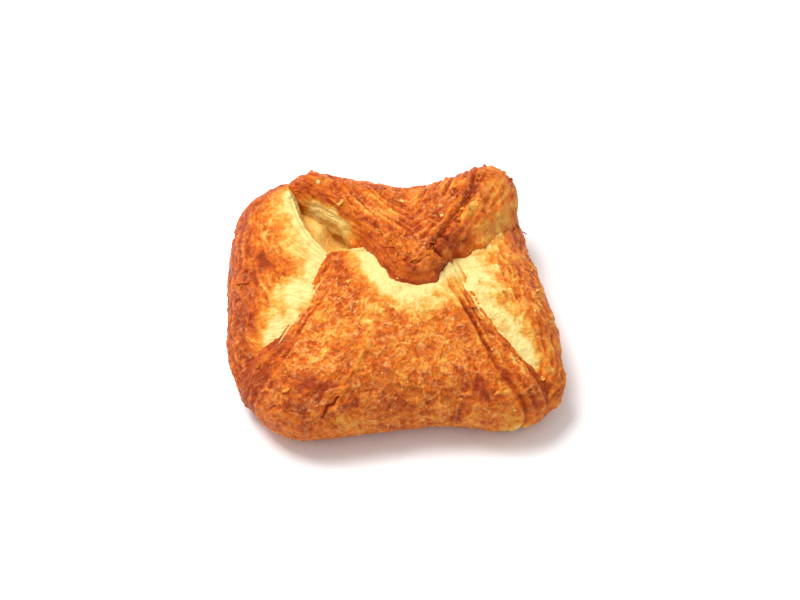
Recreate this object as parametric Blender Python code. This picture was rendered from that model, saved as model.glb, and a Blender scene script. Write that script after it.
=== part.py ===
"""An envelope turnover: one square of laminated dough with its four corners folded to the middle.

Each flap rolls up from the pastry's underside, turns over at its fold and runs in to its tip. Its two
cut edges fan outwards, so they show as sloping bands beside the seams and as round lobes at the corners.
The back flap lies over the front flap, and the front flap over the two side flaps. A body of dough fills
the space below the flaps, down to the flat underside, and all of it is joined into one solid.

Sizes and places are in millimetres until the last step of each point. Plan places are measured from a
point near the middle of the folds, and MIDDLE moves the finished pastry so that its box is centred.
"""

import math
from bisect import bisect_right
from dataclasses import dataclass

import bmesh
import bpy
from mathutils import Vector

MM = 0.001
MIDDLE = Vector((0.92, 2.20, 0.0))

# The pastry's outline in plan, along the outermost line of its folds, seen from above and
# counter-clockwise from the back-left corner.
OUTLINE = (
    (-43.0, 39.5),
    (-51.0, 31.5),
    (-53.0, 15.0),
    (-52.8, -4.0),
    (-51.3, -22.0),
    (-47.0, -35.5),
    (-38.5, -45.0),
    (-27.0, -49.0),
    (-8.0, -46.5),
    (12.0, -44.0),
    (30.0, -45.0),
    (43.5, -42.0),
    (51.0, -33.5),
    (50.2, -17.0),
    (46.6, 1.0),
    (42.5, 18.0),
    (42.5, 32.0),
    (38.5, 43.0),
    (26.0, 44.5),
    (5.0, 39.5),
    (-14.0, 41.5),
    (-30.0, 44.0),
)
OUTLINE_STEPS = 16

# How finely each flap is divided: across the flap, along it from fold to tip, and down its cut edges.
FLAP_ACROSS = 20
FLAP_ALONG = 24
FLAP_DEEP = 6

# The fold takes this share of the steps along a flap, and starts this far under the pastry.
FOLD_SHARE = 0.42
FOLD_START = math.radians(-80)
# What is left at the middle of a fold, as a share of its radius, so that its faces never meet.
FOLD_CORE = 0.10
# The rounded end of a flap turns through this much to each side of its tip.
TIP_TURN = math.radians(60)
# How roundly a cut edge fans out on its way down: below 1 it goes outwards first.
CUT_ROUND = 0.7
# A flap's crown is lower at its sides by this share, and its full thickness is reached this soon past
# the fold, as a share of the way to the tip.
CROWN_FALL = 0.5
THICKNESS_REACHED = 0.5

# The body of dough under the flaps. Each ring is the outline drawn in by some millimetres and then
# shrunk to a share of its size, at a height above the table.
BODY_SIDES = 72
BODY_RINGS = (
    (9.0, 1.00, 0.0),
    (6.8, 1.00, 0.6),
    (4.8, 1.00, 2.0),
    (3.4, 1.00, 4.6),
    (2.6, 1.00, 8.5),
    (3.0, 1.00, 13.0),
    (5.0, 1.00, 17.0),
    (9.0, 1.00, 20.0),
    (9.0, 0.75, 22.0),
    (9.0, 0.40, 23.0),
)
# The open pocket beside the back flap, where the dough shows deep down: a rounded hollow in the body.
POCKET_AT = Vector((-18.5, 19.5, 24.5))
POCKET_RADIUS = 7.0


@dataclass
class Flap:
    """One folded corner of the dough. Its left and right are as seen from outside the pastry."""

    left_end: tuple  # where the fold ends on the outline
    right_end: tuple
    left_flare: float  # how far the cut edge fans out round the outline at each end of the fold
    right_flare: float
    tip: tuple
    tip_half_width: float
    tip_reach: float
    tip_flare: float  # how far the cut edge fans out all round the tip
    left_height: float  # how high the top of the fold is at its ends and in its middle
    fold_height: float
    right_height: float
    tip_height: float
    crown: float  # how much the flap puffs up between fold and tip
    fold_radius: float  # how far in from its outermost line the fold reaches
    thickness: float
    left_waist: float = 0.0  # how far each side draws in between fold and tip
    right_waist: float = 0.0
    left_sag: float = 0.0  # how far each side sinks to pass under a neighbour
    right_sag: float = 0.0
    tuck: float = 0.0  # how far the fold's ends tuck in under the neighbouring flaps


FLAPS = {
    "left_flap": Flap(
        left_end=(-38, 42), right_end=(-44, -42), left_flare=4, right_flare=3,
        tip=(-6, -15), tip_half_width=13, tip_reach=3, tip_flare=2,
        left_height=30, fold_height=26, right_height=19, tip_height=26, crown=3.0,
        fold_radius=12, thickness=13, left_waist=6, right_sag=8, tuck=1.5,
    ),
    "right_flap": Flap(
        left_end=(43, -42.5), right_end=(42.5, 33), left_flare=4, right_flare=6,
        tip=(7, -8), tip_half_width=15, tip_reach=3, tip_flare=4,
        left_height=20, fold_height=25, right_height=22, tip_height=27, crown=3.5,
        fold_radius=11, thickness=13, left_sag=8, tuck=1.5,
    ),
    "front_flap": Flap(
        left_end=(-48, -35), right_end=(44.5, -41.5), left_flare=6, right_flare=6,
        tip=(-1.5, 4), tip_half_width=21, tip_reach=5, tip_flare=6,
        left_height=22, fold_height=23, right_height=22, tip_height=31, crown=4.0,
        fold_radius=11, thickness=13, left_waist=8, right_waist=4,
    ),
    "back_flap": Flap(
        left_end=(26, 44.5), right_end=(-30, 44), left_flare=18, right_flare=10,
        tip=(6.5, 4), tip_half_width=8.5, tip_reach=4.5, tip_flare=9,
        left_height=36, fold_height=32, right_height=34, tip_height=38, crown=0.0,
        fold_radius=12, thickness=14, left_waist=-1, right_waist=-1,
    ),
}


def smooth_step(x):
    x = min(max(x, 0.0), 1.0)
    return x * x * (3 - 2 * x)


def mixed(a, b, share):
    return a + (b - a) * share


def smooth_closed_curve(points, steps):
    """Points along a smooth closed curve through the given ones, with this many steps between each two."""
    curve = []
    for i, start in enumerate(points):
        before = points[i - 1]
        end = points[(i + 1) % len(points)]
        after = points[(i + 2) % len(points)]
        for step in range(steps):
            t = step / steps
            line = 2 * start + (end - before) * t
            bend = (2 * before - 5 * start + 4 * end - after) * t**2
            twist = (3 * start - before - 3 * end + after) * t**3
            curve.append((line + bend + twist) / 2)
    return curve


class Outline:
    """The pastry's outline, with places on it given as millimetres round it."""

    def __init__(self):
        self.points = smooth_closed_curve([Vector(p) for p in OUTLINE], OUTLINE_STEPS)
        self.places = [0.0]
        for i, point in enumerate(self.points):
            next_point = self.points[(i + 1) % len(self.points)]
            self.places.append(self.places[-1] + (next_point - point).length)
        self.length = self.places[-1]

    def nearest(self, point):
        """The place on the outline nearest to this point."""
        distances = [(p - Vector(point)).length for p in self.points]
        return self.places[distances.index(min(distances))]

    def at(self, place):
        """The point at this place, which may run past the outline's end and round again."""
        place %= self.length
        i = min(bisect_right(self.places, place), len(self.points)) - 1
        share = (place - self.places[i]) / (self.places[i + 1] - self.places[i])
        return self.points[i].lerp(self.points[(i + 1) % len(self.points)], share)

    def outwards(self, place):
        """The direction straight out of the pastry at this place."""
        along = (self.at(place + 1) - self.at(place - 1)).normalized()
        return Vector((along.y, -along.x))

    def fold_point(self, flap, across, fan):
        """The outermost point of a flap's fold, its ends fanned out round the outline and tucked in."""
        left = self.nearest(flap.left_end)
        right = self.nearest(flap.right_end)
        if right < left:
            right += self.length
        flare = flap.left_flare if across < 0 else flap.right_flare
        place = mixed(left, right, (across + 1) / 2) + flare * fan * math.sin(across * math.pi / 2)
        return self.at(place) - self.outwards(place) * flap.tuck * across**4


def tip_point(flap, across, fan):
    """The point of the flap's rounded end, fanned out all round."""
    sideways = (Vector(flap.right_end) - Vector(flap.left_end)).normalized()
    forwards = Vector((-sideways.y, sideways.x))
    grown = flap.tip_flare * fan
    to_the_side = (flap.tip_half_width + grown) * math.sin(across * TIP_TURN)
    ahead = (flap.tip_reach + grown) * math.cos(across * TIP_TURN) - flap.tip_reach / 2
    return Vector(flap.tip) + sideways * to_the_side + forwards * ahead


def flap_point(outline, flap, across, along, deep):
    """A point of the flap: across -1 to 1, along 0 at the underside to 1 at the tip, deep 0 on top to 1."""
    fan = max(math.sin(deep * math.pi / 2), 0.0) ** CUT_ROUND
    outer = outline.fold_point(flap, across, fan)
    inner = tip_point(flap, across, fan)
    length = (inner - outer).length
    inwards = (inner - outer) / length

    # How far in from the outermost line this point is: round the fold first, then on to the tip.
    turn = mixed(FOLD_START, math.pi / 2, min(along / FOLD_SHARE, 1.0))
    past_fold = max((along - FOLD_SHARE) / (1 - FOLD_SHARE), 0.0)
    reach = flap.fold_radius * (1 - math.cos(turn)) + (length - flap.fold_radius) * past_fold

    # How high it is: the half round of the fold, and above it what rises from fold to tip.
    end_height, sag, waist = flap.left_height, flap.left_sag, flap.left_waist
    if across > 0:
        end_height, sag, waist = flap.right_height, flap.right_sag, flap.right_waist
    fold_height = mixed(flap.fold_height, end_height, across**2)
    arch = math.sin(math.pi * reach / length)
    rise = (flap.tip_height - fold_height) * smooth_step(reach / length) - sag * across**2
    rise += flap.crown * arch * (1 - CROWN_FALL * across**2)
    upper = max(math.sin(turn), 0.0)
    height = fold_height / 2 * (1 + math.sin(turn)) + rise * upper

    # Depth runs towards the middle of the fold, and straight down past it.
    core_reach = mixed(flap.fold_radius, reach, FOLD_CORE) if past_fold == 0 else reach
    fold_depth = fold_height / 2 * math.sin(turn) * (1 - FOLD_CORE) + rise * upper
    depth = mixed(fold_depth, flap.thickness, smooth_step(past_fold / THICKNESS_REACHED))

    plan = outer + inwards * mixed(reach, core_reach, deep)
    rightwards = Vector((inwards.y, -inwards.x))
    plan -= rightwards * waist * arch * math.sin(across * math.pi / 2)
    return (Vector((plan.x, plan.y, height - depth * deep)) + MIDDLE) * MM


def divided_box(across, along, deep):
    """A closed box over across -1 to 1, along 0 to 1 and deep 0 to 1, cut into that many steps each way."""
    mesh = bmesh.new()
    bmesh.ops.create_cube(mesh, size=1)
    for vertex in mesh.verts:
        vertex.co = Vector((vertex.co.x * 2, vertex.co.y + 0.5, vertex.co.z + 0.5))
    for axis, (low, high, steps) in enumerate(((-1, 1, across), (0, 1, along), (0, 1, deep))):
        normal = Vector((axis == 0, axis == 1, axis == 2))
        for step in range(1, steps):
            place = normal * mixed(low, high, step / steps)
            everything = mesh.verts[:] + mesh.edges[:] + mesh.faces[:]
            bmesh.ops.bisect_plane(mesh, geom=everything, plane_co=place, plane_no=normal)
    return mesh


def finished(name, mesh, collection):
    """An object of this mesh, its faces pointing outwards."""
    bmesh.ops.recalc_face_normals(mesh, faces=mesh.faces[:])
    data = bpy.data.meshes.new(name)
    mesh.to_mesh(data)
    mesh.free()
    made = bpy.data.objects.new(name, data)
    collection.objects.link(made)
    return made


def make_flap(name, flap, outline, collection):
    mesh = divided_box(FLAP_ACROSS, FLAP_ALONG, FLAP_DEEP)
    for vertex in mesh.verts:
        across, along, deep = vertex.co
        vertex.co = flap_point(outline, flap, across, along, deep)
    return finished(name, mesh, collection)


def body_point(outline, share_round, ring):
    """A point of the body, at a share of the way round one of its rings."""
    drawn_in, share, height = BODY_RINGS[ring]
    plan = outline.at(share_round * outline.length)
    plan = (plan - plan.normalized() * drawn_in) * share
    return (Vector((plan.x, plan.y, height)) + MIDDLE) * MM


def make_body(outline, collection):
    mesh = bmesh.new()
    levels = len(BODY_RINGS) - 1
    bmesh.ops.create_cone(mesh, cap_ends=True, segments=BODY_SIDES, radius1=1, radius2=1, depth=levels)
    for level in range(1, levels):
        everything = mesh.verts[:] + mesh.edges[:] + mesh.faces[:]
        place = (0, 0, level - levels / 2)
        bmesh.ops.bisect_plane(mesh, geom=everything, plane_co=place, plane_no=(0, 0, 1))
    for vertex in mesh.verts:
        share_round = math.atan2(vertex.co.y, vertex.co.x) / math.tau
        vertex.co = body_point(outline, share_round, round(vertex.co.z + levels / 2))
    return finished("turnover", mesh, collection)


def make_pocket(collection):
    mesh = bmesh.new()
    bmesh.ops.create_icosphere(mesh, subdivisions=3, radius=POCKET_RADIUS * MM)
    bmesh.ops.translate(mesh, verts=mesh.verts[:], vec=(POCKET_AT + MIDDLE) * MM)
    return finished("pocket", mesh, collection)


def join_or_cut(body, shape, operation):
    shape.hide_render = True
    shape.display_type = "WIRE"
    change = body.modifiers.new(shape.name, "BOOLEAN")
    change.operation = operation
    change.solver = "EXACT"
    change.object = shape


def crust():
    material = bpy.data.materials.new("baked crust")
    material.use_nodes = True
    shader = material.node_tree.nodes["Principled BSDF"]
    shader.inputs["Base Color"].default_value = (0.62, 0.27, 0.06, 1)
    shader.inputs["Metallic"].default_value = 0.0
    shader.inputs["Roughness"].default_value = 0.45
    return material


def main():
    for old in list(bpy.data.objects):
        bpy.data.objects.remove(old)
    pastry = bpy.data.collections.new("turnover pastry")
    shapes = bpy.data.collections.new("shapes joined to it or cut from it")
    bpy.context.scene.collection.children.link(pastry)
    bpy.context.scene.collection.children.link(shapes)
    outline = Outline()
    body = make_body(outline, pastry)
    body.data.materials.append(crust())
    join_or_cut(body, make_pocket(shapes), "DIFFERENCE")
    for name, flap in FLAPS.items():
        join_or_cut(body, make_flap(name, flap, outline, shapes), "UNION")


main()
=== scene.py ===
"""A baked envelope turnover of laminated dough, dressed for close views, in a plain pale studio.

The pastry is a body of dough under four folded flaps. Each flap is a sheet whose rim is turned down all
round, rolled up from the underside, over its fold and in to its tip. Its crust is then raised by lumps,
blisters, flakes and layers, and browned by how open to the heat each spot was.

Sizes are in millimetres in the pastry's own plan, and the last step of each piece puts it in the frame.
"""

import itertools
from dataclasses import dataclass

import bpy
import numpy as np
from mathutils import Matrix, Vector


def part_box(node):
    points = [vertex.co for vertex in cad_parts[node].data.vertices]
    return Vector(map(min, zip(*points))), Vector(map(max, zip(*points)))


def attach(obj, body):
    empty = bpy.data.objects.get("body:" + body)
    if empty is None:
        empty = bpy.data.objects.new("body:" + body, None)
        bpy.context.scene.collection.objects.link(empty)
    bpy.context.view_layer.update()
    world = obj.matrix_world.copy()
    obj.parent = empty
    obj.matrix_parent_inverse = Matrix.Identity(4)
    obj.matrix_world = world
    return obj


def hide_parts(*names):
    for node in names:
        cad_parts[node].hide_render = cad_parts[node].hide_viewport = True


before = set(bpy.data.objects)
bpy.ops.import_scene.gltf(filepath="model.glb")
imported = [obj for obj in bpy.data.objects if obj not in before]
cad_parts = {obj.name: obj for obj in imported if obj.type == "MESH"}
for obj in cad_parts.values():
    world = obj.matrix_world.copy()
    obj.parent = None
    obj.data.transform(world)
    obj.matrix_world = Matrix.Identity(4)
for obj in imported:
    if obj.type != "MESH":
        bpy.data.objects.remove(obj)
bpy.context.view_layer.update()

bl_info = {
    "name": "Envelope Turnover",
    "version": (1, 0, 0),
    "blender": (4, 5, 0),
    "location": "3D View > Sidebar > Turnover",
    "description": "Models a baked envelope turnover, piece by piece, with its flaky crust",
    "category": "Add Mesh",
}

NODE = "turnover"
LOW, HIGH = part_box(NODE)
MM = 0.001

# The plan's middle and width in its own millimetres, and the metres in the frame for each of those.
PLAN_MIDDLE = np.array((-0.92, -2.20))
PLAN_WIDTH = 104.33
SCALE = (HIGH.x - LOW.x) / PLAN_WIDTH

# The pastry's outline along the outermost line of its folds, counter-clockwise from the back-left corner.
OUTLINE_CORNERS = (
    (-43.0, 39.5),
    (-51.0, 31.5),
    (-53.0, 15.0),
    (-52.8, -4.0),
    (-51.3, -22.0),
    (-47.0, -35.5),
    (-38.5, -45.0),
    (-27.0, -49.0),
    (-8.0, -46.5),
    (12.0, -44.0),
    (30.0, -45.0),
    (43.5, -42.0),
    (51.0, -33.5),
    (50.2, -17.0),
    (46.6, 1.0),
    (42.5, 18.0),
    (42.5, 32.0),
    (38.5, 43.0),
    (26.0, 44.5),
    (5.0, 39.5),
    (-14.0, 41.5),
    (-30.0, 44.0),
)
OUTLINE_STEPS = 16

FOLD_SHARE = 0.42
FOLD_START = np.radians(-80)
FOLD_CORE = 0.10
TIP_TURN = np.radians(60)
CUT_ROUND = 0.7
CROWN_FALL = 0.5
THICKNESS_REACHED = 0.5
EDGE_ROUND = 2.2

# The body under the flaps: how far each ring is drawn in from the outline, and its height.
BODY_DRAWN_IN = (9.0, 6.8, 4.8, 3.4, 2.6, 3.0, 5.0, 9.0)
BODY_HEIGHTS = (0.0, 0.6, 2.0, 4.6, 8.5, 13.0, 17.0, 20.0)
BODY_TOP = 23.0
POCKET_AT = np.array((-18.5, 19.5, 24.5))
POCKET_RADIUS = 7.0

# Coarse steps of each sheet, which SUBDIVISIONS then halves again and again.
SHEET_ACROSS = 64
SHEET_ALONG = 56
SHEET_RIM = 7
BODY_ROUND = 84
BODY_DISC = 11
SUBDIVISIONS = 2


@dataclass
class Flap:
    """One folded corner of the dough. Its left and right are as seen from outside the pastry."""

    left_end: tuple
    right_end: tuple
    left_flare: float
    right_flare: float
    tip: tuple
    tip_half_width: float
    tip_reach: float
    tip_flare: float
    left_height: float
    fold_height: float
    right_height: float
    tip_height: float
    crown: float
    fold_radius: float
    thickness: float
    seed: int
    bake: float  # how brown the flap is where nothing shaded it, from 0 to 1
    fold_bake: float  # how much browner it is along its fold
    pale_width: float  # how far in from a flap that overlaps it the dough stayed pale
    ledges: tuple = ()  # each layer's side, where it steps down near the cut edge, by how much, and its groove
    edge_streaks: float = 0.0  # how strongly it is streaked along its cut edge, and along its fold
    fold_streaks: float = 0.0
    wrinkles: float = 0.0  # how strongly it is wrinkled across its cut edge
    rim_layers: float = 0.0  # how clearly thin layers show along its rim
    ragged: float = 0.4  # how far its rim wanders, in millimetres
    left_layered: float = 1.0  # how clearly layers show down each side of its cut edge
    right_layered: float = 1.0
    protected_bake: float = 0.05  # how brown it is deep down its cut edge, and there near its tip
    tip_bake: float = 0.05
    under: tuple = ()  # each flap that lies over this one, how pale it kept it, and how far down it touches
    left_waist: float = 0.0
    right_waist: float = 0.0
    left_sag: float = 0.0
    right_sag: float = 0.0
    right_pinch: float = 0.0
    left_tuck: float = 0.0
    right_tuck: float = 0.0
    mottle: float = 1.0  # how patchily it browned


FLAPS = {
    "left": Flap(
        left_end=(-36, 42.5), right_end=(-44, -42), left_flare=4, right_flare=3,
        tip=(-6, -15), tip_half_width=13, tip_reach=3, tip_flare=2,
        left_height=30, fold_height=26, right_height=19, tip_height=26, crown=3.0,
        fold_radius=12, thickness=13, left_waist=8.5, right_sag=8, left_tuck=0, right_tuck=1.5, mottle=0.85,
        seed=11, bake=0.57, fold_bake=0.34, pale_width=8, fold_streaks=1.7, wrinkles=1.0,
        under=(("front", 1.0, 0.35), ("back", 1.7, 0.7), ("left", 0.8, 0.0)),
    ),
    "right": Flap(
        left_end=(43, -42.5), right_end=(42.5, 33), left_flare=4, right_flare=6,
        tip=(7, -8), tip_half_width=15, tip_reach=3, tip_flare=4,
        left_height=20, fold_height=25, right_height=22, tip_height=27, crown=3.5,
        fold_radius=11, thickness=13, left_sag=8, left_tuck=1.5, right_tuck=4,
        seed=23, bake=0.55, fold_bake=0.13, pale_width=8.2, fold_streaks=2.0, wrinkles=0.6,
        under=(("front", 1.0, 0.35), ("back", 0.4, 0.6)),
    ),
    "front": Flap(
        left_end=(-48, -35), right_end=(44.5, -41.5), left_flare=6, right_flare=6,
        tip=(-1.5, 4), tip_half_width=21, tip_reach=5, tip_flare=6,
        left_height=22, fold_height=23, right_height=22, tip_height=31, crown=4.0,
        fold_radius=11, thickness=13, left_waist=4, right_waist=3,
        seed=37, bake=0.64, fold_bake=0.09, pale_width=8.5, edge_streaks=0.2, fold_streaks=0.7, rim_layers=1.0,
        ledges=(
            (1, 5.6, 0.0, -0.5), (1, 4.2, 0.2, 1.6), (1, 2.9, 0.0, -0.4), (1, 1.9, 0.3, 0.9),
            (-1, 5.6, 0.0, -0.3), (-1, 4.4, 0.9, 0.8), (-1, 2.2, 0.3, 0.5),
        ),
        under=(("back", 1.0, 0.5),),
    ),
    "back": Flap(
        left_end=(29, 44.2), right_end=(-30, 44), left_flare=17, right_flare=17,
        tip=(5.0, 3.0), tip_half_width=7.0, tip_reach=14, tip_flare=7,
        left_height=36, fold_height=32, right_height=34, tip_height=38, crown=0.0,
        fold_radius=12, thickness=14, left_waist=-2.5, right_waist=-1, right_pinch=8, left_tuck=-1.3,
        seed=53, bake=0.76, fold_bake=0.06, pale_width=1, mottle=0.75, edge_streaks=2.2, rim_layers=0.8,
        ledges=((-1, 1.0, 0.2, 1.1), (-1, 2.3, 0.0, -0.4), (1, 1.6, 0.4, 0.7), (1, 3.2, 0.0, -0.3)),
        ragged=1.2,
        left_layered=0.25, right_layered=0.6, protected_bake=0.12, tip_bake=0.84,
    ),
}


def smooth_step(x):
    x = np.clip(x, 0.0, 1.0)
    return x * x * (3 - 2 * x)


def mixed(a, b, share):
    return a + (b - a) * share


class Outline:
    """The pastry's outline as a smooth closed curve, with places on it in millimetres round it."""

    def __init__(self, corners, steps):
        starts = np.array(corners)
        before = np.roll(starts, 1, axis=0)
        ends = np.roll(starts, -1, axis=0)
        after = np.roll(starts, -2, axis=0)
        t = (np.arange(steps) / steps)[None, :, None]
        line = 2 * starts[:, None] + (ends - before)[:, None] * t
        bend = (2 * before - 5 * starts + 4 * ends - after)[:, None] * t**2
        twist = (3 * starts - before - 3 * ends + after)[:, None] * t**3
        points = ((line + bend + twist) / 2).reshape(-1, 2)
        self.points = np.vstack((points, points[:1]))
        steps_between = np.linalg.norm(np.diff(self.points, axis=0), axis=1)
        self.places = np.concatenate(((0.0,), np.cumsum(steps_between)))
        self.length = self.places[-1]

    def nearest(self, point):
        return self.places[np.argmin(np.linalg.norm(self.points[:-1] - point, axis=1))]

    def at(self, place):
        place = place % self.length
        x = np.interp(place, self.places, self.points[:, 0])
        y = np.interp(place, self.places, self.points[:, 1])
        return np.stack((x, y), axis=-1)

    def outwards(self, place):
        along = self.at(place + 1) - self.at(place - 1)
        along /= np.linalg.norm(along, axis=-1, keepdims=True)
        return np.stack((along[..., 1], -along[..., 0]), axis=-1)


OUTLINE = Outline(OUTLINE_CORNERS, OUTLINE_STEPS)


class Noise:
    """Smooth random values from about -1 to 1 through space, the same each run."""

    def __init__(self, seed):
        random = np.random.default_rng(seed)
        self.order = random.permutation(256)
        slopes = random.normal(size=(256, 3))
        self.slopes = slopes / np.linalg.norm(slopes, axis=1, keepdims=True)

    def at(self, points, size):
        """The value at these points, with features about this many millimetres wide."""
        places = points / size
        cell = np.floor(places).astype(int)
        within = places - cell
        fade = within**3 * (within * (within * 6 - 15) + 10)
        total = np.zeros(len(points))
        for corner in itertools.product((0, 1), repeat=3):
            x, y, z = ((cell + corner) & 255).T
            slope = self.slopes[self.order[(self.order[(self.order[x] + y) & 255] + z) & 255]]
            weight = np.prod(np.where(corner, fade, 1 - fade), axis=1)
            total += weight * np.sum(slope * (within - corner), axis=1)
        return total * 1.7

    def warp(self, points, size, amount):
        """The points, each moved by up to about this amount."""
        moves = [self.at(points + 37.0 * (i + 1), size) for i in range(3)]
        return points + amount * np.stack(moves, axis=1)

    def cells(self, points, size):
        """Scattered cells: the distance in from each cell's edge and out from its middle, and its value."""
        places = points / size
        cell = np.floor(places).astype(int)
        nearest = np.full(len(points), 9.0)
        second = np.full(len(points), 9.0)
        value = np.zeros(len(points))
        for step in itertools.product((-1, 0, 1), repeat=3):
            x, y, z = ((cell + step) & 255).T
            key = self.order[(self.order[(self.order[x] + y) & 255] + z) & 255]
            spot = cell + step + 0.5 + 0.45 * self.slopes[key]
            distance = np.linalg.norm(places - spot, axis=1)
            closer = distance < nearest
            second = np.where(closer, nearest, np.minimum(second, distance))
            nearest = np.where(closer, distance, nearest)
            value = np.where(closer, key / 255, value)
        return (second - nearest) * size / 2, nearest * size, value


@dataclass
class Surface:
    """Points of a flap, and where they are on it."""

    points: np.ndarray  # in millimetres
    place: np.ndarray  # millimetres round the outline
    reach: np.ndarray  # millimetres in from the outermost line of the fold
    past_fold: np.ndarray
    turn: np.ndarray
    depth: np.ndarray  # millimetres down the cut edge


def flap_surface(flap, across, along, deep):
    """Points of the flap: across -1 to 1, along 0 at the underside to 1 at the tip, deep 0 on top to 1."""
    fan = np.maximum(np.sin(deep * np.pi / 2), 0.0) ** CUT_ROUND
    left, right = OUTLINE.nearest(flap.left_end), OUTLINE.nearest(flap.right_end)
    if right < left:
        right += OUTLINE.length
    half_turn = np.sin(across * np.pi / 2)
    flare = np.where(across < 0, flap.left_flare, flap.right_flare)
    place = mixed(left, right, (across + 1) / 2) + flare * fan * half_turn
    tuck = np.where(across < 0, flap.left_tuck, flap.right_tuck)
    outer = OUTLINE.at(place) - OUTLINE.outwards(place) * (tuck * across**4)[:, None]

    sideways = np.subtract(flap.right_end, flap.left_end).astype(float)
    sideways /= np.linalg.norm(sideways)
    forwards = np.array((-sideways[1], sideways[0]))
    grown = flap.tip_flare * fan
    to_the_side = (flap.tip_half_width + grown) * np.sin(across * TIP_TURN)
    ahead = (flap.tip_reach + grown) * np.cos(across * TIP_TURN) - flap.tip_reach / 2
    inner = np.array(flap.tip) + to_the_side[:, None] * sideways + ahead[:, None] * forwards
    length = np.linalg.norm(inner - outer, axis=1)
    inwards = (inner - outer) / length[:, None]

    turn = mixed(FOLD_START, np.pi / 2, np.minimum(along / FOLD_SHARE, 1.0))
    past_fold = np.maximum((along - FOLD_SHARE) / (1 - FOLD_SHARE), 0.0)
    reach = flap.fold_radius * (1 - np.cos(turn)) + (length - flap.fold_radius) * past_fold

    end_height = np.where(across < 0, flap.left_height, flap.right_height)
    sag = np.where(across < 0, flap.left_sag, flap.right_sag)
    waist = np.where(across < 0, flap.left_waist, flap.right_waist)
    fold_height = mixed(flap.fold_height, end_height, across**2)
    arch = np.sin(np.pi * reach / length)
    rise = (flap.tip_height - fold_height) * smooth_step(reach / length) - sag * across**2
    rise += flap.crown * arch * (1 - CROWN_FALL * across**2)
    upper = np.maximum(np.sin(turn), 0.0)
    height = fold_height / 2 * (1 + np.sin(turn)) + rise * upper

    core_reach = np.where(past_fold == 0, mixed(flap.fold_radius, reach, FOLD_CORE), reach)
    fold_depth = fold_height / 2 * np.sin(turn) * (1 - FOLD_CORE) + rise * upper
    depth = mixed(fold_depth, flap.thickness, smooth_step(past_fold / THICKNESS_REACHED))
    plan = outer + inwards * mixed(reach, core_reach, deep)[:, None]
    rightwards = np.stack((inwards[:, 1], -inwards[:, 0]), axis=1)
    pinch = np.where(across < 0, 0.0, flap.right_pinch) * fan
    plan -= rightwards * ((waist + pinch) * arch * half_turn)[:, None]
    points = np.column_stack((plan, height - depth * deep))
    radial = np.hypot(flap.fold_radius, fold_height / 2) * deep
    down = np.where(past_fold == 0, radial, flap.thickness * deep)
    return Surface(points, place, reach, past_fold, turn, down)


def cut_line(flap, deep):
    """Points along the flap's cut edge this far down it, from its fold round the tip and back."""
    along = np.linspace(0.1, 1, 50)
    across = np.linspace(-1, 1, 50)
    sides = [(np.full(50, -1.0), along), (across, np.ones(50)), (np.full(50, 1.0), along[::-1])]
    return np.vstack([flap_surface(flap, a, b, np.full(50, deep)).points for a, b in sides])


def distance_to(points, line):
    """Each point's distance to the line through these places."""
    nearest = np.full(len(points), 1e9)
    for start, step in zip(line, np.diff(line, axis=0)):
        share = np.clip((points - start) @ step / max(step @ step, 1e-9), 0, 1)
        from_step = points - start - share[:, None] * step
        nearest = np.minimum(nearest, np.einsum("ij,ij->i", from_step, from_step))
    return np.sqrt(nearest)


def crust_relief(points, noise, sizes):
    """How far a crust stands out, in millimetres, how much of a flake's rim it is, and how dark its hollow."""
    lumps = noise.at(points, 17) * 0.9 + noise.at(points + 50, 8) * 0.5
    ragged = noise.warp(noise.warp(points, 6, 3.6), 1.8, 0.8)
    from_rim, _, raised = noise.cells(ragged, 6.5)
    large_rim = np.exp(-((from_rim / 0.32) ** 2))
    flakes = (raised - 0.5) * smooth_step(from_rim / 0.5) + large_rim * 0.55
    from_rim, out, hollow = noise.cells(noise.warp(noise.warp(points + 70, 5, 2.6), 1.6, 0.8), 2.7)
    small_rim = np.exp(-((from_rim / 0.22) ** 2))
    dimples = small_rim * 0.5 + (out / 2.7) ** 2 * 0.6 - hollow * 0.35
    _, out, chosen = noise.cells(noise.warp(points + 30, 6, 1.6), 10)
    blisters = smooth_step(1 - out / 4.2) * (chosen > 0.6)
    grain = noise.at(points, 1.5) * 0.10 + noise.at(points + 20, 0.75) * 0.08
    rough = 0.25 + smooth_step(noise.at(points + 44, 13) * 0.8 + 0.5) * 0.9
    relief = lumps * sizes.lump_height / MM + (flakes * 1.4 + dimples * rough) * sizes.flake_step / MM
    relief += blisters * sizes.blister_height / MM + grain
    return relief, np.maximum(large_rim, small_rim * rough), hollow * smooth_step(from_rim / 0.5)


def streaks(run, across, noise, pitch):
    """Long wavering ridges, from about -1 to 1: these run along one direction, a pitch apart in the other."""
    wavy = across + noise.at(np.column_stack((run, across, across * 0)), 11) * 1.6
    return noise.at(np.column_stack((run * 0.17, wavy / pitch, wavy * 0)), 1.0)


def layer_relief(run, depth, points, noise, sizes):
    """How far the layers of a cut edge stand out, in millimetres."""
    wavy = depth + noise.at(points, 9) * 1.1 + noise.at(points + 40, 3) * 0.35
    return streaks(run, wavy, noise, sizes.layer_pitch / MM * 0.75) * sizes.layer_height / MM


# Where the largest crumbs lie in the plan.
LARGE_CRUMBS = ((-14.8, -7.1), (-12.8, -41.0), (1.5, 24.0), (18.0, 29.0), (-25.0, 33.0), (14.0, 16.0))


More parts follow.
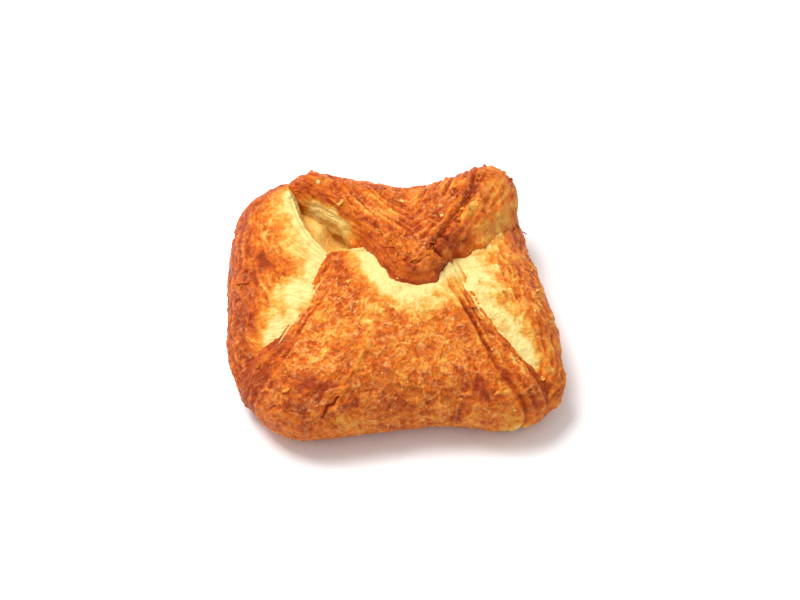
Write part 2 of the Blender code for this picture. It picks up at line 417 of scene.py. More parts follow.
@dataclass
class Mark:
    """One thing to find on a crust, along a line: a crack or a dent if it goes down, a ridge if it goes up."""

    flap: str
    line: tuple  # its two ends in the plan
    lowest: float  # it is only on the crust between these heights
    highest: float
    width: float
    rise: float
    # How much darker the crust is along the mark, or lighter where this is below zero.
    darker: float

    def press(self, moved, points, normals, groove, noise):
        start, end = np.array(self.line[0]), np.array(self.line[1])
        plan = points[:, :2] + np.column_stack((noise.at(points, 3), noise.at(points + 9, 3))) * 0.7
        share = np.clip((plan - start) @ (end - start) / max((end - start) @ (end - start), 1e-6), 0, 1)
        from_line = np.linalg.norm(plan - start - share[:, None] * (end - start), axis=1)
        here = np.exp(-((from_line / self.width) ** 2))
        here *= smooth_step((points[:, 2] - self.lowest) / 2) * smooth_step((self.highest - points[:, 2]) / 2)
        return moved + normals * (here * self.rise)[:, None], groove + here * self.darker


# A torn crack and the ridge that runs on from it, a dark blister, and smaller blisters on the front.
MARKS = (
    Mark("front", ((-22.5, -47.0), (-17.4, -43.9)), 12, 24, 0.24, -0.8, 2.2),
    Mark("front", ((-17.0, -43.6), (-8.5, -29.0)), 12, 40, 0.9, 0.7, -0.7),
    Mark("front", ((-47.0, -37.0), (-38.0, -28.0)), 2, 40, 8.0, 0.0, 0.8),
    Mark("left", ((-42.5, 6.5), (-39.5, 1.5)), 15, 40, 1.9, 0.8, 1.7),
    Mark("front", ((-28.0, -40.0), (-24.0, -41.5)), 12, 40, 2.4, -0.5, 1.1),
    Mark("front", ((24.0, -39.5), (26.0, -41.0)), 12, 40, 2.0, -0.4, 1.2),
    Mark("front", ((33.0, -36.5), (35.0, -37.5)), 12, 40, 1.8, -0.4, 1.2),
    Mark("front", ((34.0, -42.0), (40.0, -40.0)), 3, 14, 3.0, 0.0, -2.2),
    Mark("back", ((12.0, 1.5), (13.5, 1.0)), 25, 50, 0.8, -1.5, 2.0),
    Mark("back", ((18.5, 2.0), (20.0, 4.0)), 25, 50, 0.9, -1.7, 2.0),
    Mark("back", ((13.0, 7.5), (16.0, 6.0)), 25, 50, 0.7, -1.0, 1.4),
)


def turned_down_sheet(name):
    """A flat square sheet, 2 wide, with its rim turned down by 1 all round and closed underneath."""
    bpy.ops.object.select_all(action="DESELECT")
    bpy.ops.mesh.primitive_grid_add(x_subdivisions=SHEET_ACROSS, y_subdivisions=SHEET_ALONG, size=2)
    sheet = bpy.context.object
    sheet.name = name
    bpy.ops.object.mode_set(mode="EDIT")
    bpy.ops.mesh.select_mode(type="EDGE")
    bpy.ops.mesh.select_all(action="SELECT")
    bpy.ops.mesh.region_to_loop()
    for _ in range(SHEET_RIM):
        bpy.ops.mesh.extrude_region_move(TRANSFORM_OT_translate={"value": (0, 0, -1 / SHEET_RIM)})
    bpy.ops.mesh.extrude_region_move(TRANSFORM_OT_translate={"value": (0, 0, 0)})
    bpy.ops.mesh.merge(type="CENTER")
    bpy.ops.object.mode_set(mode="OBJECT")
    subdivided(sheet)
    return sheet


def subdivided(piece):
    """Divides the piece's faces without changing its shape."""
    finer = piece.modifiers.new("finer", "SUBSURF")
    finer.subdivision_type = "SIMPLE"
    finer.levels = finer.render_levels = SUBDIVISIONS
    bpy.ops.object.modifier_apply(modifier=finer.name)


def rings_of_dough(name):
    """A drum 1 wide each way: a disc, a wall with a ring for each of the body's heights, and a disc."""
    bpy.ops.object.select_all(action="DESELECT")
    bpy.ops.mesh.primitive_circle_add(vertices=BODY_ROUND, radius=1 / BODY_DISC, fill_type="TRIFAN")
    drum = bpy.context.object
    drum.name = name
    bpy.ops.object.mode_set(mode="EDIT")
    bpy.ops.mesh.select_mode(type="EDGE")
    bpy.ops.mesh.select_all(action="SELECT")
    bpy.ops.mesh.region_to_loop()
    for ring in range(1, BODY_DISC):
        bpy.ops.mesh.extrude_region_move(TRANSFORM_OT_translate={"value": (0, 0, 0)})
        bpy.ops.transform.resize(value=((ring + 1) / ring, (ring + 1) / ring, 1))
    for _ in BODY_HEIGHTS[1:]:
        bpy.ops.mesh.extrude_region_move(TRANSFORM_OT_translate={"value": (0, 0, 1)})
    for ring in range(BODY_DISC - 1, 0, -1):
        bpy.ops.mesh.extrude_region_move(TRANSFORM_OT_translate={"value": (0, 0, 0)})
        bpy.ops.transform.resize(value=(ring / (ring + 1), ring / (ring + 1), 1))
    bpy.ops.mesh.extrude_region_move(TRANSFORM_OT_translate={"value": (0, 0, 0)})
    bpy.ops.mesh.merge(type="CENTER")
    bpy.ops.mesh.select_all(action="SELECT")
    bpy.ops.mesh.normals_make_consistent(inside=False)
    bpy.ops.object.mode_set(mode="OBJECT")
    subdivided(drum)
    return drum


def places_of(piece):
    """The piece's points as rows of x, y and z."""
    flat = np.empty(len(piece.data.vertices) * 3)
    piece.data.vertices.foreach_get("co", flat)
    return flat.reshape(-1, 3)


def normals_of(piece):
    flat = np.empty(len(piece.data.vertices) * 3)
    piece.data.vertices.foreach_get("normal", flat)
    return flat.reshape(-1, 3)


def put(piece, points):
    """Moves the piece's points to these places in the plan's millimetres, in the frame."""
    middle = (LOW + HIGH) / 2
    world = points * SCALE
    world[:, :2] += np.array(middle.xy) - PLAN_MIDDLE * SCALE
    world[:, 2] += LOW.z
    piece.data.vertices.foreach_set("co", world.astype(np.float32).ravel())
    piece.data.update()


def paint(piece, name, values):
    """Stores a value or a direction for each of the piece's points."""
    kind = "FLOAT" if values.ndim == 1 else "FLOAT_VECTOR"
    layer = piece.data.attributes.new(name, kind, "POINT")
    field = "value" if values.ndim == 1 else "vector"
    layer.data.foreach_set(field, values.astype(np.float32).ravel())


def join_the_frame(piece, replaces=True):
    piece.data.shade_smooth()
    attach(piece, "root")
    if replaces:
        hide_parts(NODE)


def make_flap(name):
    """Rolls a sheet into one flap and raises and browns its crust."""
    flap, sizes = FLAPS[name], bpy.context.scene.turnover_sizes
    noise = Noise(flap.seed)
    sheet = turned_down_sheet(name + "_flap")
    x, y, z = places_of(sheet).T
    across, along, deep = x, (y + 1) / 2, -z
    deep = deep**1.35
    rolled = flap_surface(flap, across, along, deep)
    points = rolled.points
    put(sheet, points)
    normals = normals_of(sheet)

    from_edge = distance_to(points, cut_line(flap, 0.0))
    cut = smooth_step(rolled.depth / 0.7)
    layered = mixed(flap.left_layered, flap.right_layered, smooth_step(across + 0.5))

    # Pale where a flap lies over it.
    uneven = noise.at(points, 9) * 2.6 + noise.at(points + 60, 3) * 1.2
    pale = np.zeros(len(points))
    for over, paleness, touching in flap.under:
        from_over = distance_to(points, cut_line(FLAPS[over], touching)) + uneven
        shaded = np.clip((1.3 - from_over / flap.pale_width) * paleness, 0, 1)
        pale = np.maximum(pale, shaded * smooth_step((rolled.reach - 5) / 7))

    relief, lip, hollow = crust_relief(points, noise, sizes)
    relief *= mixed(1.0, 0.35, pale)
    lip *= 1 - pale
    run = along * 60 + across * flap.tip_half_width
    layers = layer_relief(run, rolled.depth, points, noise, sizes)
    folded = smooth_step(rolled.past_fold * 3)
    streaky = streaks(run, from_edge, noise, 1.5) * flap.edge_streaks
    along_fold = flap.fold_streaks * (1 - folded * 0.6) * (1 - 0.8 * pale)
    streaky += streaks(rolled.place, along * 60, noise, 1.3) * along_fold
    wrinkled = streaks(from_edge, rolled.place, noise, 1.1) * flap.wrinkles * (0.6 + pale) * folded

    # Layers step down towards the cut edge, and the rim is rounded over and wanders.
    stepped, groove = np.zeros(len(points)), np.zeros(len(points))
    on_side = smooth_step((np.abs(across) - 0.4) / 0.35) * smooth_step(rolled.past_fold * 8 + 0.6)
    on_side *= (1 - 0.65 * smooth_step((rolled.past_fold - 0.75) / 0.2)) * (1 - 0.8 * pale)
    wavering = (from_edge + noise.at(points, 8) * 0.6) / mixed(1.5, 1.0, folded)
    for side, distance, drop, depth in flap.ledges:
        here = on_side * (across * side > 0)
        stepped += drop * (1 - smooth_step((wavering - distance) / 0.7 + 0.5)) * here
        groove += np.exp(-(((wavering - distance) / 0.55) ** 2)) * depth * here
    groove *= 1 - cut
    thin = streaks(run, wavering * 1.3, noise, 1.0) * np.exp(-from_edge / 6) * on_side * flap.rim_layers * (1 - pale)
    streaky += thin * mixed(2.8, 1.4, folded)
    inside = np.clip(1 - from_edge / EDGE_ROUND, 0, 1)
    rounded = EDGE_ROUND * (1 - np.sqrt(1 - inside**2)) * (rolled.past_fold > 0)
    rounded *= 1 - smooth_step(rolled.depth / 5)
    wander = noise.at(points + 33, 4) + noise.at(points + 66, 1.8) * 0.6
    relief *= (1 - 0.6 * np.clip(np.abs(groove), 0, 1)) * (1 - 0.5 * np.exp(-from_edge / 0.8))
    streaky *= 1 - 0.7 * np.exp(-from_edge / 0.8)
    height = relief * mixed(1.0, 0.6, cut * layered) + layers * cut * layered - groove
    height += (np.tanh(streaky) * 0.38 + wrinkled * 0.20) * (1 - cut)
    height += wander * flap.ragged * np.exp(-from_edge / 1.5)
    height += noise.at(points + 99, 5) * flap.ragged * smooth_step(rolled.depth / 8) * folded
    moved = points + normals * height[:, None]
    moved[:, 2] = np.maximum(moved[:, 2] - rounded * 0.8 - stepped, 0.05)
    for mark in (mark for mark in MARKS if mark.flap == name):
        moved, groove = mark.press(moved, points, normals, groove, noise)
    put(sheet, moved)

    # Browner where it was open to the heat and paler deep down a cut.
    patchy = noise.at(points + 15, 14) * 0.11 + noise.at(points + 85, 6) * 0.10
    open_fold = 1 - smooth_step((rolled.reach + uneven - 5) / 12)
    # The groove term makes the crust darker along its grooves, cracks and dents and lighter along its ridges.
    bake = flap.bake + patchy + flap.fold_bake * open_fold + groove * 0.26
    bake += (hollow - 0.35) * 0.20 - streaky * 0.20 - wrinkled * 0.10
    shelved = (smooth_step(pale * 2) + smooth_step(pale * 2 - 1)) / 2
    bake = mixed(bake, 0.0 - wrinkled * 0.14, shelved)
    protected = smooth_step((rolled.depth + uneven * 0.5 - 4.0) / 3.0) * smooth_step(rolled.past_fold * 6)
    deepest = mixed(0.42, flap.protected_bake, smooth_step((layered - 0.25) / 0.35))
    at_tip = smooth_step((rolled.past_fold - 0.5) / 0.3)
    deepest = mixed(deepest, flap.tip_bake, at_tip)
    browned = mixed(mixed(-0.33, 0.10, layered), 0.10, at_tip)
    bake = np.where(cut > 0, mixed(bake + browned * cut, deepest, protected), bake)
    cut *= layered
    paint(sheet, "bake", bake)
    # The lip marks the flakes' rims, where the shader mixes in the rim colour and its painted glint.
    paint(sheet, "lip", lip * (1 - cut))
    calm = (1 - 0.7 * np.clip(np.abs(groove), 0, 1)) * (1 - 0.6 * pale)
    paint(sheet, "mottle", flap.mottle * calm * (1 - 0.25 * flap.fold_streaks * open_fold))
    paint(sheet, "cut", np.column_stack((run, rolled.depth, cut)))
    paint(sheet, "fibres", np.column_stack((rolled.place, rolled.reach, smooth_step(pale * 1.6) * (1 - cut))))
    sheet.data.materials.append(crust_material())
    join_the_frame(sheet)
    return sheet


def make_body():
    """Shapes the drum into the body of dough, with its flat baked underside and its open pocket."""
    sizes = bpy.context.scene.turnover_sizes
    noise = Noise(5)
    drum = rings_of_dough("body_of_dough")
    x, y, z = places_of(drum).T
    round_share = np.arctan2(y, x) / (2 * np.pi) % 1
    out = np.minimum(np.hypot(x, y), 1.0)
    rings = np.arange(len(BODY_HEIGHTS))
    drawn_in = np.interp(z, rings, BODY_DRAWN_IN)
    height = np.interp(z, rings, BODY_HEIGHTS)
    on_top = z > rings[-1] - 0.01
    height = np.where(on_top, mixed(BODY_TOP, height, out**2), height)
    plan = OUTLINE.at(round_share * OUTLINE.length)
    from_middle = np.linalg.norm(plan, axis=1)
    plan = plan * ((from_middle - drawn_in) / from_middle * out)[:, None]
    points = np.column_stack((plan, height))
    across_pocket = np.linalg.norm(points[:, :2] - POCKET_AT[:2], axis=1)
    hollow = POCKET_AT[2] - np.sqrt(np.maximum(POCKET_RADIUS**2 - across_pocket**2, 0.0))
    in_pocket = on_top & (across_pocket < POCKET_RADIUS)
    points[:, 2] = np.where(in_pocket, np.minimum(points[:, 2], hollow), points[:, 2])
    put(drum, points)
    normals = normals_of(drum)
    relief, lip, hollow = crust_relief(points, noise, sizes)
    under = z < 0.5
    height = np.where(under, -np.abs(relief) * 0.25, relief * 0.6)
    height = np.where(in_pocket, relief * 0.25, height)
    moved = points + normals * height[:, None]
    moved[:, 2] = np.maximum(moved[:, 2], 0.0)
    put(drum, moved)
    bake = np.where(under, 0.66, 0.72) + noise.at(points, 12) * 0.08 + (hollow - 0.35) * 0.15
    bake = np.where(on_top, 0.22, bake)
    paint(drum, "bake", bake)
    paint(drum, "lip", lip * 0.5 * ~on_top)
    paint(drum, "mottle", np.where(on_top, 0.3, 1.0))
    paint(drum, "cut", np.column_stack((round_share * 300, z * 3, smooth_step(z / 2) * (1 - on_top))))
    paint(drum, "fibres", points * 0)
    drum.data.materials.append(crust_material())
    join_the_frame(drum)
    return drum


def crust_under(x, y):
    """Where the crust is under this place of the plan, in the frame, which way it faces and how brown it is."""
    middle = (LOW + HIGH) / 2
    above = Vector((middle.x + (x - PLAN_MIDDLE[0]) * SCALE, middle.y + (y - PLAN_MIDDLE[1]) * SCALE, 0.1))
    graph = bpy.context.evaluated_depsgraph_get()
    found, place, facing, face, piece, _ = bpy.context.scene.ray_cast(graph, above, Vector((0, 0, -1)))
    if not found or "bake" not in piece.data.attributes:
        return None, None, 0.0
    bake = piece.data.attributes["bake"].data[piece.data.polygons[face].vertices[0]].value
    return place, facing, bake


def settle(bit, place, facing, turn, sunk):
    """Lays the bit on the crust at this place, turned, and sunk into it by some of its height."""
    lie = facing.to_track_quat("Z", "Y").to_matrix().to_4x4()
    lie = Matrix.Translation(place - facing * sunk) @ lie @ Matrix.Rotation(turn, 4, "Z")
    bit.data.transform(lie)
    bit.data.update()


def shade(bit, bake):
    """Colours a whole bit by how brown it is."""
    count = len(bit.data.vertices)
    paint(bit, "bake", np.full(count, bake))
    paint(bit, "lip", np.zeros(count))
    paint(bit, "mottle", np.full(count, 0.5))
    paint(bit, "cut", np.zeros((count, 3)))
    paint(bit, "fibres", np.zeros((count, 3)))


def joined(bits, name):
    """All of the bits as one object at the origin."""
    bpy.ops.object.select_all(action="DESELECT")
    for bit in bits:
        bit.select_set(True)
    bpy.context.view_layer.objects.active = bits[0]
    bpy.ops.object.join()
    bits[0].name = name
    bits[0].data.materials.clear()
    bits[0].data.materials.append(crust_material())
    join_the_frame(bits[0])
    return bits[0]


def rim_places(random):
    """Endless places in the plan just in from the rims of the flaps that lie on top, and on all the folds."""
    lines = [cut_line(FLAPS[name], 0.0)[25:125, :2] for name in ("front", "back", "back")]
    folds = OUTLINE.at(np.linspace(0, OUTLINE.length, 300)) * 0.92
    while True:
        line = folds if random.random() < 0.35 else lines[random.integers(len(lines))]
        yield line[random.integers(len(line))] + random.normal(0, 1.2, 2)


def make_flakes(sizes):
    """Thin curled leaves of crust, lifted along one side."""
    random, noise = np.random.default_rng(71), Noise(72)
    bits = []
    for x, y in itertools.islice(rim_places(random), sizes.flakes):
        place, facing, bake = crust_under(x, y)
        if place is None or facing.z < 0.35 or bake < 0.3:
            continue
        bpy.ops.object.select_all(action="DESELECT")
        bpy.ops.mesh.primitive_grid_add(x_subdivisions=7, y_subdivisions=5, size=2)
        leaf = bpy.context.object
        across, along, _ = places_of(leaf).T
        long, wide = random.uniform(0.7, 1.7), random.uniform(0.4, 0.8)
        taper = 1 - 0.55 * np.abs(across) ** 2
        points = np.column_stack((across * long, along * wide * taper, across * 0))
        ragged = noise.at(points + 5 * len(bits), 0.8)
        points[:, :2] *= 1 + 0.35 * ragged[:, None]
        points[:, 2] = (along + 1) ** 2 * random.uniform(0.04, 0.12) + ragged * 0.12
        leaf.data.vertices.foreach_set("co", (points * MM).astype(np.float32).ravel())
        thick = leaf.modifiers.new("thick", "SOLIDIFY")
        thick.thickness = random.uniform(0.12, 0.22) * MM
        bpy.ops.object.modifier_apply(modifier=thick.name)
        settle(leaf, place, facing, random.uniform(0, 2 * np.pi), -0.02 * MM)
        shade(leaf, bake + random.uniform(-0.28, 0.05))
        bits.append(leaf)
    return joined(bits, "loose_flakes")


def make_crumbs(sizes):
    """Small rough crumbs of the paler layers."""
    random, noise = np.random.default_rng(81), Noise(82)
    bits = []
    while len(bits) < sizes.crumbs:
        if len(bits) < len(LARGE_CRUMBS):
            (x, y), size = LARGE_CRUMBS[len(bits)], random.uniform(0.7, 0.9)
        else:
            x, y = random.uniform(-50, 50), random.uniform(-46, 42)
            size = random.uniform(0.2, 0.5)
        place, facing, _ = crust_under(x, y)
        if place is None or facing.z < 0.25:
            continue
        bpy.ops.object.select_all(action="DESELECT")
        bpy.ops.mesh.primitive_ico_sphere_add(subdivisions=2, radius=1)
        crumb = bpy.context.object
        points = places_of(crumb)
        points *= 1 + 0.45 * noise.at(points + 7 * len(bits), 0.7)[:, None]
        points *= random.uniform((0.7, 0.5, 0.4), (1.3, 0.9, 0.7)) * size
        crumb.data.vertices.foreach_set("co", (points * MM).astype(np.float32).ravel())
        settle(crumb, place, facing, random.uniform(0, 2 * np.pi), 0.1 * size * MM)
        shade(crumb, random.uniform(0.02, 0.40))
        bits.append(crumb)
    return joined(bits, "crumbs")


# ---------------------------------------------------------------------------------------------------
# Materials


def node(tree, kind, **settings):
    made = tree.nodes.new(kind)
    for name, value in settings.items():
        setattr(made, name, value)
    return made


def feed(tree, socket, value):
    """Links an output to this input, or sets the input to a plain value."""
    if isinstance(value, bpy.types.NodeSocket):
        tree.links.new(value, socket)
    else:
        socket.default_value = value


def math_node(tree, operation, *values, clamp=False):
    made = node(tree, "ShaderNodeMath", operation=operation, use_clamp=clamp)
    for socket, value in zip(made.inputs, values):
        feed(tree, socket, value)
    return made.outputs[0]


def vector_node(tree, operation, *values):
    made = node(tree, "ShaderNodeVectorMath", operation=operation)
    for socket, value in zip(made.inputs, values):
        feed(tree, socket, value)
    return made.outputs[0]


def noise_node(tree, vector, scale, detail=3.0, roughness=0.55):
    """Noise centred on zero, from about -0.5 to 0.5."""
    made = node(tree, "ShaderNodeTexNoise")
    feed(tree, made.inputs["Vector"], vector)
    made.inputs["Scale"].default_value = scale
    made.inputs["Detail"].default_value = detail
    made.inputs["Roughness"].default_value = roughness
    return made


def mix_colours(tree, share, first, second):
    made = node(tree, "ShaderNodeMix", data_type="RGBA")
    feed(tree, made.inputs[0], share)
    feed(tree, made.inputs[6], first)
    feed(tree, made.inputs[7], second)
    return made.outputs[2]


COLOUR_STEPS = ("Pale", "Yellow", "Golden", "Brown", "Dark")


def flaky_bake_group():
    """How baked laminated dough looks: its colour by how brown it is, with a painted glint and sheen on the flakes'
    rims, its roughness and its fine relief.
    """
    existing = bpy.data.node_groups.get("flaky_bake")
    if existing:
        return existing
    tree = bpy.data.node_groups.new("flaky_bake", "ShaderNodeTree")
    for name in ("Bake", "Lip", "Mottle"):
        tree.interface.new_socket(name, in_out="INPUT", socket_type="NodeSocketFloat")
    for name in ("Cut", "Fibres"):
        tree.interface.new_socket(name, in_out="INPUT", socket_type="NodeSocketVector")
    for name in COLOUR_STEPS:
        tree.interface.new_socket(name, in_out="INPUT", socket_type="NodeSocketColor")
    # The rim colour holds a painted glint and sheen as well as the paler layers of the rims.
    tree.interface.new_socket("Rim and Glint", in_out="INPUT", socket_type="NodeSocketColor")
    tree.interface.new_socket("Colour", in_out="OUTPUT", socket_type="NodeSocketColor")
    tree.interface.new_socket("Roughness", in_out="OUTPUT", socket_type="NodeSocketFloat")
    tree.interface.new_socket("Height", in_out="OUTPUT", socket_type="NodeSocketFloat")
    given = node(tree, "NodeGroupInput").outputs

    def times(a, b):
        return math_node(tree, "MULTIPLY", a, b)

    def plus(a, b):
        return math_node(tree, "ADD", a, b)

    def centred(noise):
        return math_node(tree, "SUBTRACT", noise.outputs["Fac"], 0.5)

    def stretched(vector, size):
        made = vector_node(tree, "SCALE", vector)
        made.node.inputs["Scale"].default_value = size
        return made

    # Places in millimetres, and the same places pushed about so that flakes are ragged.
    place = stretched(node(tree, "ShaderNodeTexCoord").outputs["Object"], 1 / MM)
    push = vector_node(tree, "SUBTRACT", noise_node(tree, place, 0.55, 4.0).outputs["Color"], (0.5, 0.5, 0.5))
    ragged = vector_node(tree, "ADD", place, stretched(push, 4.0))
    blotch = centred(noise_node(tree, ragged, 0.22, 4.0, 0.6))
    broad = node(tree, "ShaderNodeTexVoronoi", feature="F1")
    feed(tree, broad.inputs["Vector"], ragged)
    broad.inputs["Scale"].default_value = 0.21
    patch = node(tree, "ShaderNodeSeparateColor")
    feed(tree, patch.inputs[0], broad.outputs["Color"])
    patch = math_node(tree, "SUBTRACT", patch.outputs[1], 0.5)
    fine = centred(noise_node(tree, place, 0.9, 5.0, 0.7))

    # Flakes with thin raised rims, which stay lighter than the flakes' middles: partly from their paler thin layers,
    # partly from a painted glint and sheen.
    flakes = node(tree, "ShaderNodeTexVoronoi", feature="F1")
    feed(tree, flakes.inputs["Vector"], ragged)
    flakes.inputs["Scale"].default_value = 0.5
    flake = node(tree, "ShaderNodeSeparateColor")
    feed(tree, flake.inputs[0], flakes.outputs["Color"])
    flake = math_node(tree, "SUBTRACT", flake.outputs[0], 0.5)
    edges = node(tree, "ShaderNodeTexVoronoi", feature="DISTANCE_TO_EDGE")
    feed(tree, edges.inputs["Vector"], ragged)
    edges.inputs["Scale"].default_value = 0.5
    rim_and_glint = math_node(tree, "SUBTRACT", 1.0, times(edges.outputs[0], 7.0), clamp=True)
    rim_and_glint = math_node(tree, "MAXIMUM", times(rim_and_glint, rim_and_glint), given["Lip"])

    # Layers show as long streaks down a cut edge, and fine fibres on dough that stayed pale.
    def streaks_along(vector, lengthways, sideways):
        parts = node(tree, "ShaderNodeSeparateXYZ")
        feed(tree, parts.inputs[0], vector)
        drawn = vector_node(tree, "MULTIPLY", vector, (lengthways, sideways, 0))
        drawn = vector_node(tree, "ADD", drawn, vector_node(tree, "MULTIPLY", push, (0.9, 0.9, 0.3)))
        return centred(noise_node(tree, drawn, 1.0, 4.0, 0.6)), parts.outputs[2]

    streak, cut = streaks_along(given["Cut"], 0.16, 1.5)
    fibre, fibrous = streaks_along(given["Fibres"], 1.3, 0.40)
    fibre = times(fibre, fibrous)
    face = math_node(tree, "SUBTRACT", 1.0, cut)

    # How brown each spot is.
    speckle = plus(plus(times(blotch, 1.1), times(flake, 0.17)), times(patch, 0.22))
    speckle = times(math_node(tree, "SUBTRACT", speckle, times(rim_and_glint, 0.10)), face)
    speckle = plus(plus(speckle, times(fine, 0.65)), times(times(streak, cut), 1.2))
    brown = plus(plus(given["Bake"], times(speckle, given["Mottle"])), times(fibre, 0.30))
    colour = given[COLOUR_STEPS[0]]
    for i, name in enumerate(COLOUR_STEPS[1:]):
        share = times(math_node(tree, "SUBTRACT", brown, i / 4), 4.0)
        share.node.use_clamp = True
        colour = mix_colours(tree, share, colour, given[name])
    # The rim colour mixed in here is partly the paler layers of the flakes' rims and partly a painted glint and sheen
    # on them.
    fleck = centred(noise_node(tree, ragged, 0.8, 3.0, 0.6))
    rim_and_glint_share = times(times(rim_and_glint, face), math_node(tree, "ADD", 0.14, times(fleck, 3.8), clamp=True))
    rim_and_glint_share = times(rim_and_glint_share, times(given["Mottle"], math_node(tree, "MULTIPLY", brown, 2.5, clamp=True)))
    colour = mix_colours(tree, rim_and_glint_share, colour, given["Rim and Glint"])

    # The glaze is glossiest where it browned.
    rough = math_node(tree, "SUBTRACT", 0.60, times(math_node(tree, "MULTIPLY", brown, 1.0, clamp=True), 0.18))
    rough = plus(rough, times(fine, 0.3))
    baked = math_node(tree, "MULTIPLY", brown, 2.5, clamp=True)
    height = times(times(plus(plus(blotch, times(flake, 0.25)), times(rim_and_glint, 0.16)), face), baked)
    height = plus(plus(height, times(fine, 0.6)), times(times(streak, cut), 1.1))
    height = plus(height, times(fibre, 0.3))
    result = node(tree, "NodeGroupOutput")
    feed(tree, result.inputs["Colour"], colour)
    feed(tree, result.inputs["Roughness"], rough)
    feed(tree, result.inputs["Height"], height)
    return tree


def crust_material():
    existing = bpy.data.materials.get("baked_crust")
    if existing:
        return existing
    colours = bpy.context.scene.turnover_colours
    made = bpy.data.materials.new("baked_crust")
    made.use_nodes = True
    tree = made.node_tree
    shader = tree.nodes["Principled BSDF"]
    look = node(tree, "ShaderNodeGroup", node_tree=flaky_bake_group())
    for field, socket in (("bake", "Bake"), ("lip", "Lip"), ("mottle", "Mottle")):
        feed(tree, look.inputs[socket], node(tree, "ShaderNodeAttribute", attribute_name=field).outputs["Fac"])
    for field, socket in (("cut", "Cut"), ("fibres", "Fibres")):
        feed(tree, look.inputs[socket], node(tree, "ShaderNodeAttribute", attribute_name=field).outputs["Vector"])
    for name in COLOUR_STEPS:
        look.inputs[name].default_value = (*getattr(colours, name.lower()), 1)
    # The rim colour holds a painted glint and sheen as well as the paler layers of the rims.
    look.inputs["Rim and Glint"].default_value = (*colours.rim_and_glint, 1)
    bump = node(tree, "ShaderNodeBump")
    bump.inputs["Strength"].default_value = 1.0
    bump.inputs["Distance"].default_value = 0.0012
    feed(tree, bump.inputs["Height"], look.outputs["Height"])
    feed(tree, shader.inputs["Base Color"], look.outputs["Colour"])
    feed(tree, shader.inputs["Roughness"], look.outputs["Roughness"])
    feed(tree, shader.inputs["Normal"], bump.outputs["Normal"])
    shader.inputs["Specular IOR Level"].default_value = 0.16
    return made


def plain_material(name, colour, roughness):
    made = bpy.data.materials.new(name)
    made.use_nodes = True
    shader = made.node_tree.nodes["Principled BSDF"]
    shader.inputs["Base Color"].default_value = (*colour, 1)
    shader.inputs["Roughness"].default_value = roughness
    return made


# ---------------------------------------------------------------------------------------------------
# What a user can change


class TurnoverSizes(bpy.types.PropertyGroup):
    """Sizes of the crust's relief."""

    lump_height: bpy.props.FloatProperty(
        name="Lumps", description="How far the dough puffed up unevenly", default=0.0007, unit="LENGTH"
    )
    flake_step: bpy.props.FloatProperty(
        name="Flake step", description="How thick each flake of the crust is", default=0.0003, unit="LENGTH"
    )
    blister_height: bpy.props.FloatProperty(
        name="Blisters", description="How far blisters stand up", default=0.0006, unit="LENGTH"
    )
    layer_pitch: bpy.props.FloatProperty(
        name="Layer pitch", description="From one layer of dough to the next", default=0.001, unit="LENGTH"
    )
    layer_height: bpy.props.FloatProperty(
        name="Layer height", description="How far layers stand out of a cut edge", default=0.0005, unit="LENGTH"
    )
    flakes: bpy.props.IntProperty(name="Loose flakes", description="How many loose flakes there are", default=110)
    crumbs: bpy.props.IntProperty(name="Crumbs", description="How many crumbs lie on the crust", default=90)


def colour_property(name, description, colour):
    return bpy.props.FloatVectorProperty(
        name=name, description=description, default=colour, subtype="COLOR", min=0, max=1
    )


class TurnoverColours(bpy.types.PropertyGroup):
    """Colours of the dough from unbaked-looking to darkest, and of the flakes' rims with their painted glint."""

    pale: colour_property("Pale", "Where a flap shaded the dough", (0.88, 0.71, 0.27))
    yellow: colour_property("Yellow", "Lightly baked dough", (0.87, 0.43, 0.065))
    golden: colour_property("Golden", "Golden crust", (0.79, 0.190, 0.010))
    brown: colour_property("Brown", "Well-baked crust", (0.62, 0.104, 0.005))
    dark: colour_property("Dark", "The darkest edges", (0.37, 0.040, 0.003))
    # The rim colour is partly the paler thin layers of flake rims and partly a painted glint and sheen.
    rim_and_glint: colour_property("Rim and Glint", "The thin rims of flakes", (0.93, 0.53, 0.19))


class TurnoverStudio(bpy.types.PropertyGroup):
    """The camera and the light."""

    elevation: bpy.props.FloatProperty(
        name="Elevation", description="How high the camera looks down from", default=np.radians(50), subtype="ANGLE"
    )
    distance: bpy.props.FloatProperty(
        name="Distance", description="From the camera to the pastry", default=0.70, unit="LENGTH"
    )
    focal_length: bpy.props.FloatProperty(
        name="Focal length", description="Of the camera's lens, in millimetres", default=100.5
    )
    key_light: bpy.props.FloatProperty(name="Key light", description="Power of the main light, in watts", default=7.5)
    sky_light: bpy.props.FloatProperty(name="Sky light", description="Strength of the light all round", default=0.68)


class PASTRY_OT_body(bpy.types.Operator):
    """Make the body of dough under the flaps, with its baked underside and open pocket"""

    bl_idname = "pastry.body"
    bl_label = "Body of Dough"

    def execute(self, context):
        make_body()
        return {"FINISHED"}


class PASTRY_OT_side_flaps(bpy.types.Operator):
    """Make the puffed left and right flaps, which lie lowest"""

    bl_idname = "pastry.side_flaps"
    bl_label = "Side Flaps"

    def execute(self, context):
        make_flap("left")
        make_flap("right")
        return {"FINISHED"}


class PASTRY_OT_front_flap(bpy.types.Operator):
    """Make the broad front flap, which lies over the side flaps"""

    bl_idname = "pastry.front_flap"
    bl_label = "Front Flap"

    def execute(self, context):
        make_flap("front")
        return {"FINISHED"}


class PASTRY_OT_back_flap(bpy.types.Operator):
    """Make the thick back flap, which lies on top and browned most"""

    bl_idname = "pastry.back_flap"
    bl_label = "Back Flap"

    def execute(self, context):
        make_flap("back")
        return {"FINISHED"}


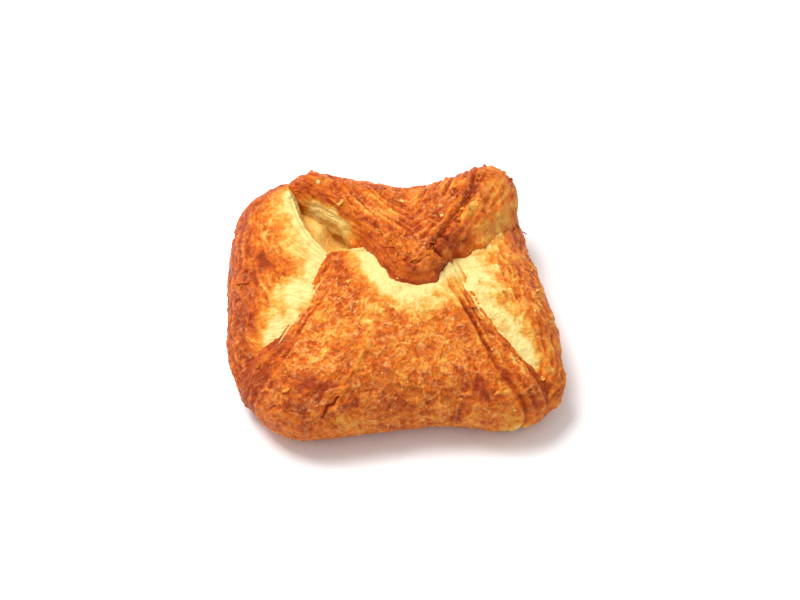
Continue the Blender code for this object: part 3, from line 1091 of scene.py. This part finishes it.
class PASTRY_OT_flakes(bpy.types.Operator):
    """Scatter loose flakes of crust, which lift off the flaps' rims and folds"""

    bl_idname = "pastry.flakes"
    bl_label = "Loose Flakes"

    def execute(self, context):
        make_flakes(context.scene.turnover_sizes)
        return {"FINISHED"}


class PASTRY_OT_crumbs(bpy.types.Operator):
    """Scatter pale crumbs over the crust"""

    bl_idname = "pastry.crumbs"
    bl_label = "Crumbs"

    def execute(self, context):
        make_crumbs(context.scene.turnover_sizes)
        return {"FINISHED"}


class PASTRY_OT_stage(bpy.types.Operator):
    """Lay a pale floor and set up the soft light and the camera"""

    bl_idname = "pastry.stage"
    bl_label = "Floor, Light and Camera"

    def execute(self, context):
        studio = context.scene.turnover_studio
        bpy.ops.object.select_all(action="DESELECT")
        bpy.ops.mesh.primitive_plane_add(size=6, location=(0, 0, LOW.z - 0.0002))
        floor = context.object
        floor.name = "floor"
        floor.data.materials.append(plain_material("pale_floor", (0.95, 0.95, 0.95), 0.9))

        aim = Vector(((LOW.x + HIGH.x) / 2 + 0.0018, (LOW.y + HIGH.y) / 2 + 0.0027, LOW.z + 0.014))
        back = Vector((0, -np.cos(studio.elevation), np.sin(studio.elevation)))
        bpy.ops.object.camera_add(
            location=aim + back * studio.distance, rotation=(np.pi / 2 - studio.elevation, 0, 0)
        )
        camera = context.object
        camera.name = "camera"
        camera.data.lens = studio.focal_length
        camera.data.sensor_width = 36
        context.scene.camera = camera

        bpy.ops.object.light_add(type="AREA", location=(-0.28, 0.22, 0.72))
        key = context.object
        key.name = "key_light"
        key.data.energy = studio.key_light
        key.data.size = 0.45
        key.rotation_mode = "QUATERNION"
        key.rotation_quaternion = (-key.location).to_track_quat("-Z", "Y")

        world = bpy.data.worlds.new("studio")
        world.use_nodes = True
        world.node_tree.nodes["Background"].inputs["Color"].default_value = (1, 1, 1, 1)
        world.node_tree.nodes["Background"].inputs["Strength"].default_value = studio.sky_light
        context.scene.world = world
        context.scene.view_settings.view_transform = "Standard"
        return {"FINISHED"}


class PASTRY_PT_turnover(bpy.types.Panel):
    """The pieces of the turnover, in the order in which they are made"""

    bl_label = "Turnover"
    bl_idname = "PASTRY_PT_turnover"
    bl_space_type = "VIEW_3D"
    bl_region_type = "UI"
    bl_category = "Turnover"

    def draw(self, context):
        for settings in (context.scene.turnover_sizes, context.scene.turnover_colours, context.scene.turnover_studio):
            box = self.layout.box()
            for name in settings.__annotations__:
                box.prop(settings, name)
        for operator in OPERATORS:
            self.layout.operator(operator.bl_idname)


SETTINGS = {
    "turnover_sizes": TurnoverSizes,
    "turnover_colours": TurnoverColours,
    "turnover_studio": TurnoverStudio,
}
OPERATORS = (
    PASTRY_OT_body,
    PASTRY_OT_side_flaps,
    PASTRY_OT_front_flap,
    PASTRY_OT_back_flap,
    PASTRY_OT_flakes,
    PASTRY_OT_crumbs,
    PASTRY_OT_stage,
)


def register():
    for cls in (*SETTINGS.values(), *OPERATORS, PASTRY_PT_turnover):
        bpy.utils.register_class(cls)
    for name, cls in SETTINGS.items():
        setattr(bpy.types.Scene, name, bpy.props.PointerProperty(type=cls))


def unregister():
    for name in SETTINGS:
        delattr(bpy.types.Scene, name)
    for cls in (PASTRY_PT_turnover, *reversed(OPERATORS), *reversed(SETTINGS.values())):
        bpy.utils.unregister_class(cls)


def main():
    register()
    bpy.ops.pastry.body()
    bpy.ops.pastry.side_flaps()
    bpy.ops.pastry.front_flap()
    bpy.ops.pastry.back_flap()
    bpy.ops.pastry.flakes()
    bpy.ops.pastry.crumbs()
    bpy.ops.pastry.stage()


if __name__ == "__main__":
    main()
